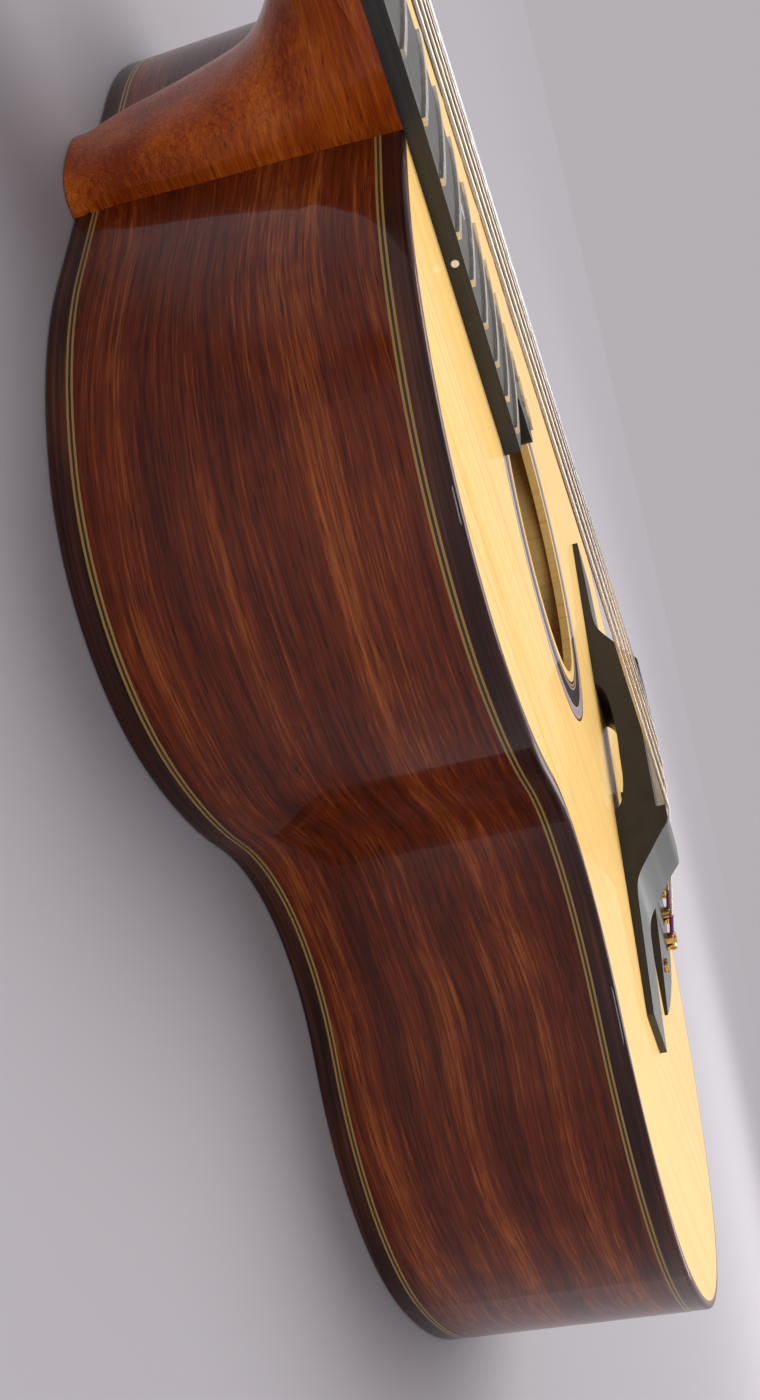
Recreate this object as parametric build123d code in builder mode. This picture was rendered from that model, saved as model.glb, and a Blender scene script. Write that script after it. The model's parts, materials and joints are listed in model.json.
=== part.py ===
from build123d import *
from math import atan, copysign, cos, degrees, radians, sin, tan
import os

# Flat-top steel-string acoustic guitar, lying on its back.
# Millimetres. X points to the treble side, Y to the headstock, Z out of the soundboard.
# The origin is the centre of the back's outer face.

# ---- driving dimensions -------------------------------------------------------------
scale_length = 645.0
joint_fret = 14
last_fret = 21
last_treble_fret = 24

body_length = 477.0
body_depth = 90.0
shoulder_flat = 50.0
upper_bout = (77.0, 146.5)
waist = (142.0, 134.5)
lower_bout = (280.0, 205.0)
shoulder_turn = 28.0
tail_turn = 45.0
waist_share_above = 0.65
waist_share_below = 0.39

side_thick = 2.4
back_thick = 2.6
top_thick = 2.9
binding_thick = 1.6
binding_tall = 5.6
binding_round = 1.2
line_deep = 0.8
line_tall = 1.8
edge_line_wide = 1.0
edge_line_deep = 1.0
lining_thick = 6.0
lining_tall = 14.0
brace_gap = 0.2

soundhole_at = 158.0
soundhole_radius = 49.0
rosette_rings = ((52.5, 55.5), (55.5, 60.5), (60.5, 66.0))
rosette_deep = 1.2

neck_block = (76.0, 58.0)
end_block = (60.0, 20.0)
brace_wide = 7.0
brace_tall = 13.0
x_half_angle = 50.0
tenon = (20.0, 16.0, 66.0)
end_graft_wide = 12.0
end_pin_radius = 4.0

neck_set_back = 0.9
nut_half_width = 22.0
joint_half_width = 26.5
neck_depth_nut = 15.5
neck_squareness_nut = 2.1
heel_line = (61.5, 15.0)
cap_low = 0.4
cap_thick = 2.0
fretboard_thick = 5.0
fretboard_radius = 406.0
fretboard_end = 103.0
treble_end = 130.0
treble_start = 6.0
fret_tall = 1.0
fret_wide = 2.2
tang_deep = 1.6
tang_wide = 0.6
dotted_frets = (3, 5, 7, 9, 12, 17)
side_dot_radius = 1.1
face_dot_radius = 3.0
dot_deep = 1.4
nut_long = 5.0
nut_tall = 8.2

head_tilt = 15.0
head_length = 178.0
head_thick = 15.0
headplate_thick = 2.0
post_places = ((24.0, 38.0), (23.0, 78.0), (22.0, 118.0))
post_radius = 3.0
bushing_radius = 5.0
tuner_screw_radius = 1.4
tuner_screw_behind = 12.5
tuner_screw_deep = 8.0
run_clearance = 0.05
worm_offset = 9.0
worm_below = 5.5
housing_half = 9.0
housing_tall = 11.0
housing_wall = 1.2
worm_radius = 2.2
gear_radius = 6.5
gear_teeth = 16
key_shaft_radius = 2.0
key_journal_radius = 1.2
tab_long = 7.0
tab_thick = 2.0
button_half_thick = 3.4
button_out = 25.5
post_top = 19.0

rod_channel = (6.0, 12.0)
rod_axis_below = 9.0
rod_radius = 2.3
rod_nut_radius = 3.8
rod_nut_hex = 2.6
rod_tunnel = 4.4

string_names = ("string_1", "string_2", "string_3", "string_4", "string_5", "string_6")
string_radii = (0.67, 0.53, 0.41, 0.30, 0.20, 0.15)
nut_spread = 18.0
saddle_spread = 27.0
anchor_spread = 33.0
nut_string_height = 6.6
saddle_string_height = 19.4
anchor_behind_saddle = 88.0
ball_radius = 2.0
ball_long = 3.4
bend_radius = 8.0
string_on_post = 8.0
post_gap = 0.2
silk_start = 5.6
silk_long = 13.0
silk_thick = 0.22

anchor_plate_half = 78.0
anchor_plate_middle = 5.0
anchor_plate_edge = 1.2
plate_screw_x = 54.0
plate_front_behind = 57.0
screw_behind_front = 12.0
screw_radius = 1.5
screw_head_radius = 3.0
pin_radius = 2.4
pin_ahead = 4.8
pin_root = 2.4
pin_rise = 4.6
bridge_half = 120.0
bridge_deep = 28.0
bridge_wing = 3.0
bridge_cheek = 19.0
bridge_seat = 15.6
arch_half = 33.0
arch_tall = 5.6
seat_half = 34.5
slot_floor = 9.0
wing_end_deep = 18.0
saddle_thick = 3.0
saddle_half = 33.0

# ---- derived places -----------------------------------------------------------------
joint_y = body_length / 2
tail_y = -joint_y
under_top = body_depth - top_thick
saddle_y = joint_y - scale_length / 2 ** (joint_fret / 12)
nut_along = scale_length * (1 - 2 ** (-joint_fret / 12))
anchor_y = saddle_y - anchor_behind_saddle
plate_front = saddle_y - plate_front_behind
plate_screw_y = plate_front - screw_behind_front
lining_inset = side_thick + lining_thick
brace_inset = lining_inset + brace_gap
hole_y = joint_y - soundhole_at


def quarter_radii(along, across, first_turn):
    """Radii of two tangent arcs that turn a quarter, the first by first_turn degrees."""
    s = sin(radians(first_turn))
    c = cos(radians(first_turn))
    d = s * c - (1 - s) * (1 - c)
    return (across * c - along * (1 - s)) / d, (along * s - across * (1 - c)) / d


def body_arcs():
    """(radius, turn) of the arcs down the treble side, a right turn being negative."""
    shoulder_r, upper_r = quarter_radii(upper_bout[0], upper_bout[1] - shoulder_flat, shoulder_turn)
    tail_r, lower_r = quarter_radii(body_length - lower_bout[0], lower_bout[1], tail_turn)
    above_long = waist[0] - upper_bout[0]
    above_turn = 2 * degrees(atan((upper_bout[1] - waist[1]) / above_long))
    above_r = above_long / sin(radians(above_turn))
    below_long = lower_bout[0] - waist[0]
    below_turn = 2 * degrees(atan((lower_bout[1] - waist[1]) / below_long))
    below_r = below_long / sin(radians(below_turn))
    return (
        (shoulder_r, -shoulder_turn),
        (upper_r, shoulder_turn - 90),
        (above_r * waist_share_above, -above_turn),
        (above_r * (1 - waist_share_above), above_turn),
        (below_r * waist_share_below, below_turn),
        (below_r * (1 - waist_share_below), -below_turn),
        (lower_r, tail_turn - 90),
        (tail_r, -tail_turn),
    )


def outline(inset=0.0, mode=Mode.ADD):
    """The body's outline, moved inwards by inset, as a face of the current sketch."""
    with BuildLine() as edges:
        edge = Line((0, joint_y - inset), (shoulder_flat, joint_y - inset))
        for radius, turn in body_arcs():
            edge = JernArc(edge @ 1, edge % 1, radius + copysign(inset, turn), turn)
        mirror(about=Plane.YZ)
    make_face(edges.edges(), mode=mode)


def plate(inset, low, high, mode=Mode.ADD):
    """A slab of the body's outline between two heights."""
    with BuildSketch(Plane.XY.offset(low)) as area:
        outline(inset)
    extrude(area.sketch, amount=high - low, mode=mode)


def ring(outer, inner, low, high, mode=Mode.ADD):
    """A hoop that follows the body's outline, between two insets and two heights."""
    with BuildSketch(Plane.XY.offset(low)) as area:
        outline(outer)
        outline(inner, Mode.SUBTRACT)
    extrude(area.sketch, amount=high - low, mode=mode)


def block(x, y, z, mode=Mode.ADD):
    """A box given by its (low, high) along each axis."""
    with BuildSketch(Plane.XY.offset(z[0])) as area:
        with Locations(((x[0] + x[1]) / 2, (y[0] + y[1]) / 2)):
            Rectangle(x[1] - x[0], y[1] - y[0])
    extrude(area.sketch, amount=z[1] - z[0], mode=mode)


def rod(start, end, radius, mode=Mode.ADD):
    """A round bar from one point to another."""
    line = Vector(*end) - Vector(*start)
    with BuildSketch(Plane(origin=start, z_dir=line)) as area:
        Circle(radius)
    extrude(area.sketch, amount=line.length, mode=mode)


def save(part, name):
    part.part.label = name
    export_step(part.part, f"parts/{name}.step")


os.makedirs("parts", exist_ok=True)

# ---- body shell ---------------------------------------------------------------------
with BuildPart() as back_plate:
    plate(binding_thick, 0, back_thick)
save(back_plate, "back_plate")

neck_slot_x = (-tenon[0] / 2, tenon[0] / 2)
neck_slot_y = (joint_y - tenon[1], joint_y + 1)
neck_slot_z = (body_depth - tenon[2], body_depth + 1)
graft_x = (-end_graft_wide / 2, end_graft_wide / 2)
tail_zone = (tail_y - 1, tail_y + 12)
half_width = lower_bout[1] + 1
line_top = body_depth - binding_tall
line_low = line_top - line_tall
for side_name, side_x in (("side_bass", (-half_width, 0)), ("side_treble", (0, half_width))):
    with BuildPart() as side:
        ring(0, side_thick, back_thick, under_top)
        ring(0, binding_thick, back_thick, binding_tall, Mode.SUBTRACT)
        ring(0, line_deep, binding_tall, binding_tall + line_tall, Mode.SUBTRACT)
        ring(0, binding_thick, line_top, under_top, Mode.SUBTRACT)
        ring(0, line_deep, line_low, line_top, Mode.SUBTRACT)
        block(neck_slot_x, neck_slot_y, neck_slot_z, Mode.SUBTRACT)
        block(graft_x, tail_zone, (back_thick, under_top), Mode.SUBTRACT)
        block(side_x, (tail_y - 1, joint_y + 1), (0, body_depth), Mode.INTERSECT)
    save(side, side_name)

with BuildPart() as end_graft:
    ring(line_deep, side_thick, back_thick, under_top)
    ring(0, line_deep, binding_tall + line_tall, line_low)
    ring(0, binding_thick, back_thick, binding_tall, Mode.SUBTRACT)
    ring(0, binding_thick, line_top, under_top, Mode.SUBTRACT)
    block(graft_x, tail_zone, (0, body_depth), Mode.INTERSECT)
    rod((0, tail_y - 1, body_depth / 2), (0, tail_y + 12, body_depth / 2), end_pin_radius, Mode.SUBTRACT)
save(end_graft, "end_graft")

with BuildPart() as soundboard:
    plate(binding_thick, under_top, body_depth)
    ring(binding_thick, binding_thick + edge_line_wide, body_depth - edge_line_deep, body_depth, Mode.SUBTRACT)
    with BuildSketch(Plane.XY.offset(body_depth - rosette_deep)):
        with Locations((0, hole_y)):
            Circle(rosette_rings[-1][1])
            Circle(rosette_rings[0][0], mode=Mode.SUBTRACT)
    extrude(amount=rosette_deep, mode=Mode.SUBTRACT)
    with Locations((0, hole_y, under_top)):
        Cylinder(soundhole_radius, 4 * top_thick, mode=Mode.SUBTRACT)
    block(neck_slot_x, neck_slot_y, neck_slot_z, Mode.SUBTRACT)
    for x in (-plate_screw_x, plate_screw_x):
        rod((x, plate_screw_y, under_top - 1), (x, plate_screw_y, body_depth + 1), screw_radius, Mode.SUBTRACT)
save(soundboard, "soundboard")

with BuildPart() as rosette:
    for inner, outer in rosette_rings:
        with BuildSketch(Plane.XY.offset(body_depth - rosette_deep)) as hoop:
            with Locations((0, hole_y)):
                Circle(outer)
                Circle(inner, mode=Mode.SUBTRACT)
        extrude(amount=rosette_deep)
save(rosette, "rosette")

with BuildPart() as top_binding:
    ring(0, binding_thick, line_top, body_depth)
    fillet(top_binding.faces().sort_by(Axis.Z)[-1].outer_wire().edges(), binding_round)
    block(neck_slot_x, neck_slot_y, neck_slot_z, Mode.SUBTRACT)
save(top_binding, "top_binding")

with BuildPart() as back_binding:
    ring(0, binding_thick, 0, binding_tall)
    fillet(back_binding.faces().sort_by(Axis.Z)[0].outer_wire().edges(), binding_round)
save(back_binding, "back_binding")

with BuildPart() as top_purfling:
    ring(0, line_deep, line_low, line_top)
    ring(binding_thick, binding_thick + edge_line_wide, body_depth - edge_line_deep, body_depth)
    block(neck_slot_x, neck_slot_y, neck_slot_z, Mode.SUBTRACT)
save(top_purfling, "top_purfling")

with BuildPart() as back_purfling:
    ring(0, line_deep, binding_tall, binding_tall + line_tall)
save(back_purfling, "back_purfling")

# ---- blocks, linings and braces -----------------------------------------------------
neck_block_x = (-neck_block[0] / 2, neck_block[0] / 2)
neck_block_y = (joint_y - side_thick - neck_block[1], joint_y - side_thick)
end_block_x = (-end_block[0] / 2, end_block[0] / 2)
end_block_y = (tail_y, tail_y + side_thick + end_block[1])
rod_axis_z = body_depth - rod_axis_below
with BuildPart() as neck_block_part:
    block(neck_block_x, neck_block_y, (back_thick, under_top))
    block(neck_slot_x, neck_slot_y, neck_slot_z, Mode.SUBTRACT)
    rod((0, joint_y, rod_axis_z), (0, neck_block_y[0] - 1, rod_axis_z), rod_tunnel, Mode.SUBTRACT)
save(neck_block_part, "neck_block")

with BuildPart() as end_block_part:
    plate(side_thick, back_thick, under_top)
    block(end_block_x, end_block_y, (0, body_depth), Mode.INTERSECT)
    rod((0, tail_y - 1, body_depth / 2), (0, end_block_y[1] + 1, body_depth / 2), end_pin_radius, Mode.SUBTRACT)
save(end_block_part, "end_block")


def lining(low, high):
    """A lining strip inside the ribs, cut where the two blocks stand."""
    ring(side_thick, lining_inset, low, high)
    block(neck_block_x, neck_block_y, (0, body_depth), Mode.SUBTRACT)
    block(end_block_x, (tail_y, end_block_y[1]), (0, body_depth), Mode.SUBTRACT)


with BuildPart() as top_linings:
    lining(under_top - lining_tall, under_top)
save(top_linings, "top_linings")

with BuildPart() as back_linings:
    lining(back_thick, back_thick + lining_tall)
save(back_linings, "back_linings")

x_cross_y = joint_y - 232.0


def x_brace(turn, notch_low, notch_high):
    """One leg of the X, notched over half its height where it crosses the other."""
    leg = Location((0, x_cross_y, 0), (0, 0, turn))
    with BuildPart() as brace:
        with BuildSketch(Plane(leg).offset(under_top - brace_tall)):
            Rectangle(brace_wide, 2 * body_length)
        extrude(amount=brace_tall)
        other = Location((0, x_cross_y, 0), (0, 0, -turn))
        with BuildSketch(Plane(other).offset(notch_low)):
            Rectangle(brace_wide, 4 * brace_wide)
        extrude(amount=notch_high - notch_low, mode=Mode.SUBTRACT)
        plate(brace_inset, 0, body_depth, Mode.INTERSECT)
        block((-300, 300), (tail_y + 70, joint_y), (0, body_depth), Mode.INTERSECT)
    return brace.part


half_lap = under_top - brace_tall / 2
with BuildPart() as x_brace_bass:
    add(x_brace(x_half_angle, half_lap, under_top))
save(x_brace_bass, "x_brace_bass")

with BuildPart() as x_brace_treble:
    add(x_brace(-x_half_angle, under_top - brace_tall, half_lap))
save(x_brace_treble, "x_brace_treble")

tone_bar_places = ((joint_y - 331.0, 8.0, 172.0), (joint_y - 400.0, 8.0, 200.0))
upper_brace_y = joint_y - 86.0
with BuildPart() as top_braces:
    block((-300, 300), (upper_brace_y - 5, upper_brace_y + 5), (under_top - 15, under_top))
    for bar_y, bar_turn, bar_long in tone_bar_places:
        with BuildSketch(Plane(Location((0, bar_y, under_top - 10), (0, 0, bar_turn)))):
            Rectangle(bar_long, 6)
        extrude(amount=10)
    plate(brace_inset, 0, body_depth, Mode.INTERSECT)
save(top_braces, "top_braces")

back_brace_places = ((80.0, 8.0), (165.0, 8.0), (285.0, 16.0), (385.0, 16.0))
with BuildPart() as back_braces:
    for behind, wide in back_brace_places:
        middle = joint_y - behind
        block((-300, 300), (middle - wide / 2, middle + wide / 2), (back_thick, back_thick + 14))
    plate(brace_inset, 0, body_depth, Mode.INTERSECT)
save(back_braces, "back_braces")

strip_y = (end_block_y[1] + 1, neck_block_y[0] - 1)
with BuildPart() as back_strip:
    block((-8, 8), strip_y, (back_thick, back_thick + 2))
    for behind, wide in back_brace_places:
        middle = joint_y - behind
        block((-9, 9), (middle - wide / 2, middle + wide / 2), (0, 20), Mode.SUBTRACT)
save(back_strip, "back_strip")

with BuildPart() as bridge_plate:
    block((-40, 40), (saddle_y - 24, saddle_y + 14), (under_top - 2.5, under_top))
save(bridge_plate, "bridge_plate")

# ---- neck ---------------------------------------------------------------------------
# The neck leans back from the body by a small set-back angle, about the line where the
# fingerboard's underside meets the joint.
set_back = radians(neck_set_back)
neck_up = Vector(0, sin(set_back), cos(set_back))
neck_along = Vector(0, cos(set_back), -sin(set_back))
joint_point = Vector(0, joint_y, body_depth)
head_up = Vector(0, sin(set_back + radians(head_tilt)), cos(set_back + radians(head_tilt)))
head_along = Vector(0, cos(set_back + radians(head_tilt)), -sin(set_back + radians(head_tilt)))
nut_end = nut_along + nut_long
head_point = joint_point + neck_along * nut_end
neck_frame = Plane(origin=joint_point, x_dir=(1, 0, 0), z_dir=neck_up)
head_frame = Plane(origin=head_point, x_dir=(1, 0, 0), z_dir=head_up)


def on_neck(x, along, up):
    return joint_point + Vector(x, 0, 0) + neck_along * along + neck_up * up


def on_head(x, along, up):
    return head_point + Vector(x, 0, 0) + head_along * along + head_up * up


def across_neck(along, up=0.0):
    """A plane square to the neck, its own Y pointing up."""
    return Plane(origin=on_neck(0, along, up), x_dir=(-1, 0, 0), z_dir=neck_along)


def across_body(behind):
    """A plane square to the body, at a distance behind the neck joint."""
    return Plane(origin=(0, joint_y - behind, body_depth), x_dir=(-1, 0, 0), z_dir=(0, 1, 0))


def crown(half_width_here):
    """Rise of the arched fingerboard above the height of its edges at joint width."""
    return (joint_half_width**2 - half_width_here**2) / (2 * fretboard_radius)


def arched_band(half_width_here, low, high, flat_bottom=False):
    """A band between two heights, whose top follows the fingerboard's arch."""
    edge = crown(half_width_here)
    middle = crown(0)
    with BuildLine() as edges:
        ThreePointArc(
            (-half_width_here, high + edge), (0, high + middle), (half_width_here, high + edge)
        )
        if flat_bottom:
            Polyline(
                (-half_width_here, high + edge),
                (-half_width_here, low),
                (half_width_here, low),
                (half_width_here, high + edge),
            )
        else:
            Line((-half_width_here, high + edge), (-half_width_here, low + edge))
            ThreePointArc(
                (-half_width_here, low + edge), (0, low + middle), (half_width_here, low + edge)
            )
            Line((half_width_here, low + edge), (half_width_here, high + edge))
    make_face(edges.edges())


def board_half_width(along):
    """Half the fingerboard's width at a distance from the joint, positive to the nut."""
    return joint_half_width - (joint_half_width - nut_half_width) * along / nut_along


# The heel sweeps round a line across the guitar, heel_line ahead of and below the joint. Its
# sections stand on planes through that line: each has its turn up from level, the distance
# of the outer face from the line, the half width and the squareness of the arch.
heel_sections = (
    (-18.0, 54.5, 18.0, 3.0),
    (-5.0, 51.0, 18.3, 3.0),
    (10.0, 49.3, 19.8, 3.0),
    (25.0, 51.3, 21.7, 3.0),
    (38.0, 55.3, 23.2, 2.8),
    (50.0, 58.2, 26.3, 2.6),
    (65.0, 59.0, 26.2, 2.4),
    (80.0, 57.8, 25.9, 2.2),
    (90.0, 57.3, 25.7, 2.1),
)
heel_line_place = Vector(0, joint_y + heel_line[0], heel_line[1])
arch_angles = (9, 20, 34, 50, 66, 80, 90, 100, 114, 130, 146, 160, 171)
spare = 6.0
heel_x = (-2 * joint_half_width, 2 * joint_half_width)


def neck_section(plane, half, top, bottom, squareness):
    """A section of the neck: straight sides above its top, a squared arch down to its bottom."""
    arch = [(half, top)]
    for angle in arch_angles:
        c = cos(radians(angle))
        s = sin(radians(angle))
        x = copysign(half * abs(c) ** (2 / squareness), c)
        arch.append((x, top - (top - bottom) * s ** (2 / squareness)))
    arch.append((-half, top))
    with BuildSketch(plane) as area:
        with BuildLine() as edges:
            Polyline((-half, top), (-half, top + spare), (half, top + spare), (half, top))
            Spline(*arch, tangents=((0, -1), (0, 1)))
        make_face(edges.edges())
    return area.sketch.face()


def heel_section(turn, outer, half, squareness):
    """A section of the heel, from its outer face to the body or to the fingerboard."""
    c = cos(radians(turn))
    s = sin(radians(turn))
    plane = Plane(origin=heel_line_place, x_dir=(1, 0, 0), z_dir=(0, -s, -c))
    lean = tan(set_back)
    to_board = (body_depth - heel_line[1] - heel_line[0] * lean) / max(s - c * lean, 0.1)
    to_body = heel_line[0] / max(c, 0.1)
    return neck_section(plane, half, min(to_board, to_body), outer, squareness)


def cut_above_neck():
    """Cuts off what stands above the fingerboard's underside."""
    with BuildSketch(neck_frame) as area:
        Rectangle(200, 4 * nut_along)
    extrude(area.sketch, amount=40, mode=Mode.SUBTRACT)


def heel_solid():
    """The heel and the start of the neck, trimmed to the body and the fingerboard."""
    faces = [heel_section(*section) for section in heel_sections]
    with BuildPart() as heel_part:
        loft(faces)
        block(heel_x, (joint_y, joint_y + 2 * heel_line[0]), (cap_low, 2 * body_depth), Mode.INTERSECT)
        cut_above_neck()
    return heel_part.part


def shaft_solid():
    """The neck from the heel's last section to the headstock."""
    nut_plane = Plane(origin=on_neck(0, nut_end + 4, 0), x_dir=(1, 0, 0), z_dir=-neck_along)
    nut_face = neck_section(nut_plane, nut_half_width - 0.2, 0, -neck_depth_nut, neck_squareness_nut)
    with BuildPart() as shaft_part:
        loft([heel_section(*heel_sections[-1]), nut_face])
    return shaft_part.part


def head_face(start):
    """The headstock's outline, from a place just before or behind the nut's far edge."""
    shoulder = nut_half_width - 0.4
    with BuildSketch(head_frame) as area:
        with BuildLine() as edges:
            Polyline((0, start), (shoulder, start), (shoulder, 4))
            Spline((shoulder, 4), (30, 18), (33.5, 30), tangents=((0, 1), (0.03, 1)))
            Line((33.5, 30), (37.5, head_length - 6))
            Spline((37.5, head_length - 6), (22, head_length - 1.5), (0, head_length),
                   tangents=((-0.4, 1), (-1, 0)))
            mirror(about=Plane.YZ)
        make_face(edges.edges())
    return area.sketch.face()


heel = heel_solid()
heel_y = (joint_y - 1, joint_y + 2 * heel_line[0])
with BuildPart() as heel_cap:
    add(heel)
    block(heel_x, heel_y, (cap_low, cap_low + cap_thick), Mode.INTERSECT)
save(heel_cap, "heel_cap")

with BuildPart() as neck:
    add(heel)
    add(shaft_solid())
    block(heel_x, heel_y, (cap_low - 1, cap_low + cap_thick), Mode.SUBTRACT)
    block(neck_slot_x, (joint_y - tenon[1], joint_y), (body_depth - tenon[2], body_depth))
    extrude(head_face(-6), amount=-head_thick)
    cut_above_neck()
    with BuildSketch(head_frame):
        with Locations((0, 100)):
            Rectangle(200, 200)
    extrude(amount=30, mode=Mode.SUBTRACT)
    with BuildSketch(neck_frame):
        with Locations((0, (nut_along - 14) / 2 - 1)):
            Rectangle(rod_channel[0], nut_along - 12)
    extrude(amount=-rod_channel[1], mode=Mode.SUBTRACT)
    rod((0, joint_y + 4, rod_axis_z), (0, joint_y - tenon[1] - 1, rod_axis_z), rod_tunnel, Mode.SUBTRACT)
    for side_sign in (-1, 1):
        for post_x, post_along in post_places:
            foot = on_head(side_sign * post_x, post_along, -head_thick - 1)
            rod(foot, on_head(side_sign * post_x, post_along, 1), bushing_radius, Mode.SUBTRACT)
            screw_along = post_along - tuner_screw_behind
            screw_foot = on_head(side_sign * post_x, screw_along, -head_thick - 1)
            screw_tip = on_head(side_sign * post_x, screw_along, -head_thick + tuner_screw_deep)
            rod(screw_foot, screw_tip, tuner_screw_radius, Mode.SUBTRACT)
save(neck, "neck")

with BuildPart() as headplate:
    extrude(head_face(0.5), amount=headplate_thick)
    for side_sign in (-1, 1):
        for post_x, post_along in post_places:
            foot = on_head(side_sign * post_x, post_along, -1)
            rod(foot, on_head(side_sign * post_x, post_along, headplate_thick + 1), bushing_radius, Mode.SUBTRACT)
save(headplate, "headplate")

truss_end = nut_along - 20
rod_top_below = 3.2
with BuildPart() as truss_rod:
    rod(on_neck(0, 2, -rod_axis_below), on_neck(0, truss_end, -rod_axis_below), rod_radius)
    rod(on_neck(0, 3, -rod_top_below), on_neck(0, truss_end, -rod_top_below), rod_radius)
    for low_end, high_end in ((4, 14), (truss_end - 10, truss_end)):
        with BuildSketch(across_neck(low_end, -6)):
            Rectangle(rod_channel[0], rod_channel[1])
        extrude(amount=high_end - low_end)
    stub_start = on_neck(0, 4, -rod_axis_below)
    rod(stub_start, on_neck(0, -17, -rod_axis_below), rod_radius)
save(truss_rod, "truss_rod")

with BuildPart() as truss_rod_nut:
    rod(on_neck(0, -4, -rod_axis_below), on_neck(0, -24, -rod_axis_below), rod_nut_radius)
    rod(on_neck(0, -3, -rod_axis_below), on_neck(0, -17.5, -rod_axis_below), rod_radius + run_clearance, Mode.SUBTRACT)
    with BuildSketch(across_neck(-25, -rod_axis_below)):
        RegularPolygon(rod_nut_hex, 6)
    extrude(amount=6, mode=Mode.SUBTRACT)
save(truss_rod_nut, "truss_rod_nut")

# ---- fingerboard and frets ----------------------------------------------------------
board_end_half = board_half_width(-treble_end)


def fret_along(number):
    """Distance of a fret from the neck joint, positive towards the nut."""
    return scale_length * (2 ** (-number / 12) - 2 ** (-joint_fret / 12))


def fret_plane(number):
    along = fret_along(number)
    return across_neck(along) if along > 0 else across_body(-along)


def fret_band(number, low, high, long):
    """One arched strip of fret, centred on its line. The joint fret follows the bend there."""
    along = fret_along(number)
    half = board_half_width(along) - 0.4
    with BuildSketch(fret_plane(number)) as area:
        arched_band(half, low, high)
        if number > last_fret:
            with Locations((joint_half_width - treble_start - 7, 0)):
                Rectangle(2 * joint_half_width, 60, mode=Mode.SUBTRACT)
    if number == joint_fret:
        towards_nut = extrude(area.sketch, amount=long / 2, dir=neck_along, mode=Mode.PRIVATE)
        towards_hole = extrude(area.sketch, amount=long / 2, dir=(0, -1, 0), mode=Mode.PRIVATE)
        return towards_nut + towards_hole
    return extrude(area.sketch, amount=long / 2, both=True, mode=Mode.PRIVATE)


fret_numbers = range(1, last_treble_fret + 1)


def before_fret(number):
    """The middle of the space on the nut side of a fret."""
    return (fret_along(number) + fret_along(number - 1)) / 2


def on_board(x, along, up):
    """A point over the fingerboard, which bends at the joint."""
    return on_neck(x, along, up) if along >= 0 else Vector(x, joint_y + along, body_depth + up)


def extension_solid():
    """The end of the fingerboard over the body, longer on the treble side."""
    with BuildPart() as extension:
        with BuildSketch(across_body(treble_end)):
            arched_band(board_end_half, 0, fretboard_thick, flat_bottom=True)
        with BuildSketch(across_body(0)):
            arched_band(board_half_width(0), 0, fretboard_thick, flat_bottom=True)
        loft()
        with BuildSketch(Plane.XY.offset(body_depth)):
            with BuildLine():
                Polyline(
                    (-60, joint_y + 20),
                    (-60, joint_y - fretboard_end),
                    (-4, joint_y - fretboard_end),
                )
                Spline(
                    (-4, joint_y - fretboard_end),
                    (treble_start - 1, joint_y - (fretboard_end + treble_end) / 2),
                    (13, joint_y - treble_end),
                    tangents=((1, 0), (1, 0)),
                )
                Polyline(
                    (13, joint_y - treble_end),
                    (60, joint_y - treble_end),
                    (60, joint_y + 20),
                    (-60, joint_y + 20),
                )
            make_face()
        extrude(amount=40, mode=Mode.INTERSECT)
    return extension.part


side_dot_bars = []
face_dot_bars = []
for number in dotted_frets:
    along = before_fret(number)
    edge = board_half_width(along)
    offsets = (-4.5, 4.5) if number == 12 else (0.0,)
    for shift in offsets:
        inner_end = on_board(dot_deep - edge, along + shift, fretboard_thick / 2)
        side_dot_bars.append((inner_end, on_board(-edge, along + shift, fretboard_thick / 2), side_dot_radius))
    sides = (-9.0, 9.0) if number == 12 else (0.0,)
    for x in sides:
        top = fretboard_thick + crown(abs(x) + face_dot_radius)
        face_dot_bars.append((on_board(x, along, top - dot_deep), on_board(x, along, top), face_dot_radius))
dot_bars = side_dot_bars + face_dot_bars
with BuildPart() as fingerboard:
    with BuildSketch(across_body(0)):
        arched_band(board_half_width(0), 0, fretboard_thick, flat_bottom=True)
    with BuildSketch(across_neck(nut_along)):
        arched_band(nut_half_width, 0, fretboard_thick, flat_bottom=True)
    loft()
    add(extension_solid())
    for number in fret_numbers:
        add(fret_band(number, fretboard_thick - tang_deep, fretboard_thick + 5, tang_wide), mode=Mode.SUBTRACT)
    for start, end, radius in dot_bars:
        rod(start, end + (end - start), radius, Mode.SUBTRACT)
save(fingerboard, "fingerboard")

with BuildPart() as frets:
    for number in fret_numbers:
        add(fret_band(number, fretboard_thick, fretboard_thick + fret_tall, fret_wide))
        add(fret_band(number, fretboard_thick - tang_deep, fretboard_thick + 0.1, tang_wide))
save(frets, "frets")

with BuildPart() as side_dots:
    for start, end, radius in side_dot_bars:
        rod(start, end, radius)
save(side_dots, "side_dots")

with BuildPart() as position_dots:
    for start, end, radius in face_dot_bars:
        rod(start, end, radius)
save(position_dots, "position_dots")

# ---- strings ------------------------------------------------------------------------
# Six straight runs: ball end to saddle, saddle to nut, nut to tuning post.


def plate_height(x):
    """Height of the tail plate's arched top at a distance from the middle."""
    drop = anchor_plate_middle - anchor_plate_edge
    arch = (anchor_plate_half**2 + drop**2) / (2 * drop)
    return anchor_plate_middle - (arch - (arch**2 - x**2) ** 0.5)


def across_place(number, spread):
    """Sideways place of a string, the thickest on the bass side."""
    return -spread + 2 * spread * number / (len(string_names) - 1)


def ball_centre(number):
    x = across_place(number, anchor_spread)
    high_side = max(abs(x) - ball_long / 2, 0)
    return Vector(x, anchor_y, body_depth + plate_height(high_side) + ball_radius)


def saddle_point(number):
    x = across_place(number, saddle_spread)
    rise = (saddle_spread**2 - x**2) / (2 * fretboard_radius)
    return Vector(x, saddle_y, body_depth + saddle_string_height + rise)


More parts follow.
